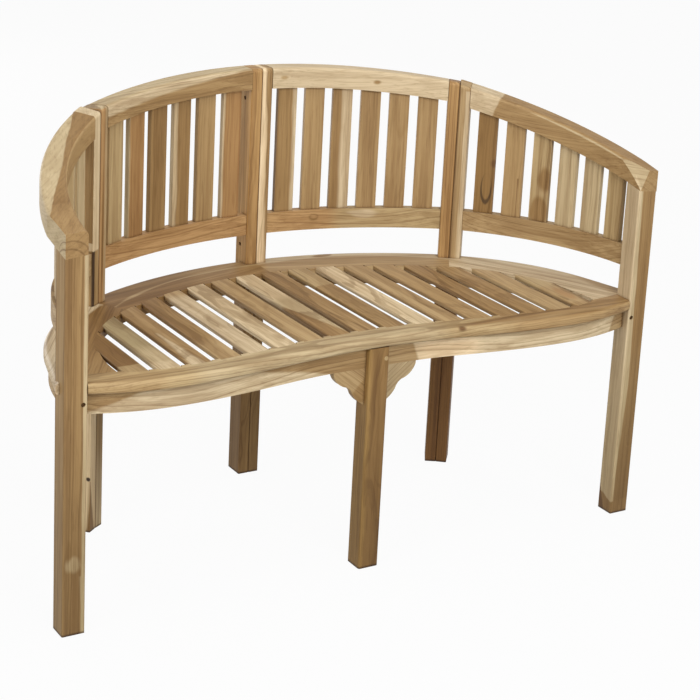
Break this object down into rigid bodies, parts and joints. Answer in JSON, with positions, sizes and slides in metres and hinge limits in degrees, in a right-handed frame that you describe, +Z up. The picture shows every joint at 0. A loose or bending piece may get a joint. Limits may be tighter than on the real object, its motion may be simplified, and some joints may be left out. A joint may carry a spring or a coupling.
{
  "type": "tree bench",
  "caption": "Curved two-seat teak bench: kidney-shaped slatted seat on six legs inside a bowed, slatted back that slopes down into the arms.",
  "frame": {"origin": "on the floor, in the middle of the bench's overall width and depth", "axes": "+X to the right as seen from the front, the front of the seat towards -Y, the back towards +Y, +Z up"},
  "size_m": [1.204, 0.5521, 0.8305],
  "materials": {
    "teak_mid": "sanded, unsealed",
    "teak_light": "sanded, unsealed sapwood",
    "teak_dark": "sanded, unsealed heartwood",
    "screw_metal": "dull brass"
  },
  "bodies": {
    "root": {"apron_back_left": "teak_dark", "apron_back_right": "teak_dark", "apron_bracket_left": "teak_mid", "apron_bracket_right": "teak_mid", "apron_end_left": "teak_mid", "apron_end_right": "teak_mid", "apron_front_left": "teak_mid", "apron_front_right": "teak_light", "arm_lower_rail_left": "teak_mid", "arm_lower_rail_right": "teak_mid", "arm_rail_left": "teak_mid", "arm_rail_right": "teak_mid", "arm_slats_left": "teak_mid", "arm_slats_right": "teak_mid", "back_lower_rail_left": "teak_mid", "back_lower_rail_right": "teak_mid", "back_slats_left": "teak_mid", "back_slats_right": "teak_mid", "back_top_rail_left": "teak_mid", "back_top_rail_right": "teak_light", "centre_stretcher": "teak_mid", "front_leg_centre": "teak_mid", "front_leg_left": "teak_mid", "front_leg_right": "teak_mid", "post_middle_stile_left": "teak_dark", "post_middle_stile_right": "teak_dark", "post_side_stile_inner_left": "teak_mid", "post_side_stile_inner_right": "teak_dark", "post_side_stile_outer_left": "teak_mid", "post_side_stile_outer_right": "teak_dark", "screws": "screw_metal", "seat_board_back_left": "teak_mid", "seat_board_back_right": "teak_mid", "seat_board_end_left": "teak_mid", "seat_board_end_right": "teak_light", "seat_board_front": "teak_light", "seat_slat_01": "teak_dark", "seat_slat_02": "teak_mid", "seat_slat_03": "teak_mid", "seat_slat_04": "teak_dark", "seat_slat_05": "teak_light", "seat_slat_06": "teak_light", "seat_slat_07": "teak_dark", "seat_slat_08": "teak_light", "seat_slat_09": "teak_dark", "seat_slat_10": "teak_mid", "seat_slat_11": "teak_light", "seat_slat_12": "teak_mid", "seat_slat_13": "teak_mid", "seat_slat_14": "teak_dark", "seat_slat_15": "teak_dark", "seat_slat_16": "teak_light", "seat_slat_17": "teak_mid"}
  },
  "joints": []
}
